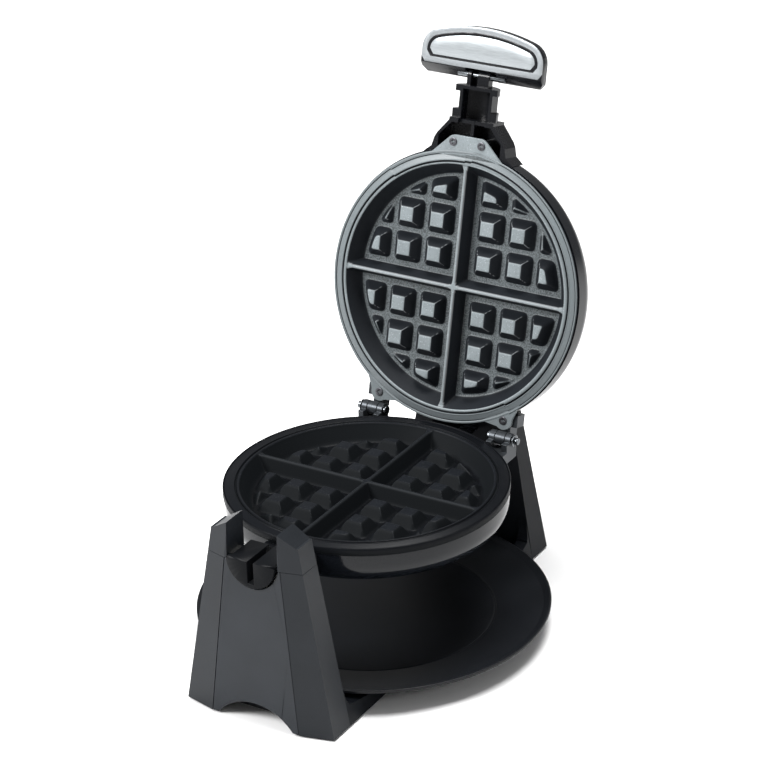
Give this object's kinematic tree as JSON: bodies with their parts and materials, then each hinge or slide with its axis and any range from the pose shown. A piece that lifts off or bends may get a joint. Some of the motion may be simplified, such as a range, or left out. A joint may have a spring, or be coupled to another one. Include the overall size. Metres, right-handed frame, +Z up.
{
  "type": "rotating waffle maker",
  "caption": "Round flip waffle maker: hinged lid standing open over a deep grid plate, folding D handle, two-tower stand and a drip tray.",
  "frame": {"origin": "on the table, at the middle of the box round the machine with its lid open", "axes": "+Z up, +X to the machine's right as its handle tower is faced from behind, +Y from the handle tower to the hinge tower"},
  "size_m": [0.256, 0.3406, 0.3967],
  "materials": {
    "charcoal_plastic": "satin, fine grain",
    "panel_plastic": "satin, fine grain",
    "black_satin_plastic": "satin, fine grain",
    "tray_plastic": "satin",
    "glossy_black_plastic": "polished",
    "black_moulding": "semi-gloss",
    "journal_plastic": "satin",
    "bearing_plastic": "smooth",
    "cord_rubber": "matte",
    "screw_steel": "zinc plated",
    "dark_screw_steel": "blackened",
    "lower_nonstick": "black non-stick coating",
    "upper_nonstick": "speckled grey non-stick coating",
    "heater_steel": "dull, heat-tinted",
    "shield_metal": "rolled",
    "thermostat_ceramic": "ceramic",
    "block_nylon": "smooth",
    "lead_sleeve": "smooth",
    "hinge_steel": "gunmetal",
    "pin_steel": "bright drawn",
    "board_laminate": "fibre board",
    "red_lens": "translucent",
    "green_lens": "translucent",
    "silver_trim": "satin silver",
    "silver_inset": "fine brushed silver"
  },
  "bodies": {
    "base": {"base_frame": "black_satin_plastic", "front_tower": "charcoal_plastic", "front_panel": "panel_plastic", "front_cap": "charcoal_plastic", "front_bearing_shoe": "bearing_plastic", "rear_tower": "black_satin_plastic", "rear_panel": "black_satin_plastic", "rear_cap": "black_satin_plastic", "rear_bearing_bush": "bearing_plastic", "cord_gland": "cord_rubber", "foot_front_left": "cord_rubber", "foot_front_right": "cord_rubber", "foot_rear_left": "cord_rubber", "foot_rear_right": "cord_rubber", "front_cap_screws": "screw_steel", "rear_cap_screws": "screw_steel", "front_tower_screws": "screw_steel", "rear_tower_screws": "screw_steel"},
    "tray": {"drip_tray": "tray_plastic"},
    "head": {"lower_shell": "glossy_black_plastic", "lower_plate": "lower_nonstick", "lower_heater": "heater_steel", "lower_heat_shield": "shield_metal", "lower_plate_screws": "screw_steel", "front_journal": "journal_plastic", "front_journal_screws": "screw_steel", "rear_journal": "black_moulding", "rear_journal_screws": "screw_steel", "rear_journal_collar": "screw_steel", "thermostat": "thermostat_ceramic", "thermal_fuse": "thermostat_ceramic", "terminal_block": "block_nylon", "heater_leads": "lead_sleeve", "hinge_bracket_left": "hinge_steel", "hinge_bracket_right": "hinge_steel", "hinge_pin_left": "pin_steel", "hinge_pin_right": "pin_steel", "pin_clip_left": "pin_steel", "pin_clip_right": "pin_steel"},
    "lid": {"upper_shell": "glossy_black_plastic", "upper_plate": "upper_nonstick", "upper_heater": "heater_steel", "upper_heat_shield": "shield_metal", "upper_plate_screws": "dark_screw_steel", "upper_shell_screws": "screw_steel", "hinge_leaf_left": "hinge_steel", "hinge_leaf_right": "hinge_steel", "lamp_board": "board_laminate", "power_lens": "red_lens", "ready_lens": "green_lens", "neck_bracket": "black_moulding", "fold_pin": "pin_steel"},
    "handle": {"handle_grip": "black_moulding", "handle_bezel": "silver_trim", "handle_inset": "silver_inset", "handle_back_plate": "black_moulding", "handle_screws": "dark_screw_steel"}
  },
  "joints": [
    {"name": "flip", "type": "hinge", "parent": "base", "child": "head", "pos_m": [0, -0.01035, 0.124], "axis": [0, 1, 0], "range_deg": [-45, 45]},
    {"name": "lid_hinge", "type": "hinge", "parent": "head", "child": "lid", "pos_m": [0, 0.08505, 0.1174], "axis": [1, 0, 0], "range_deg": [0, 103.5]},
    {"name": "handle_fold", "type": "hinge", "parent": "lid", "child": "handle", "pos_m": [0, 0.15778, 0.36208], "axis": [1, 0, 0], "range_deg": [0, 75]},
    {"name": "tray_slide", "type": "slide", "parent": "base", "child": "tray", "axis": [1, 0, 0], "range_m": [-0.27, 0.27]}
  ]
}
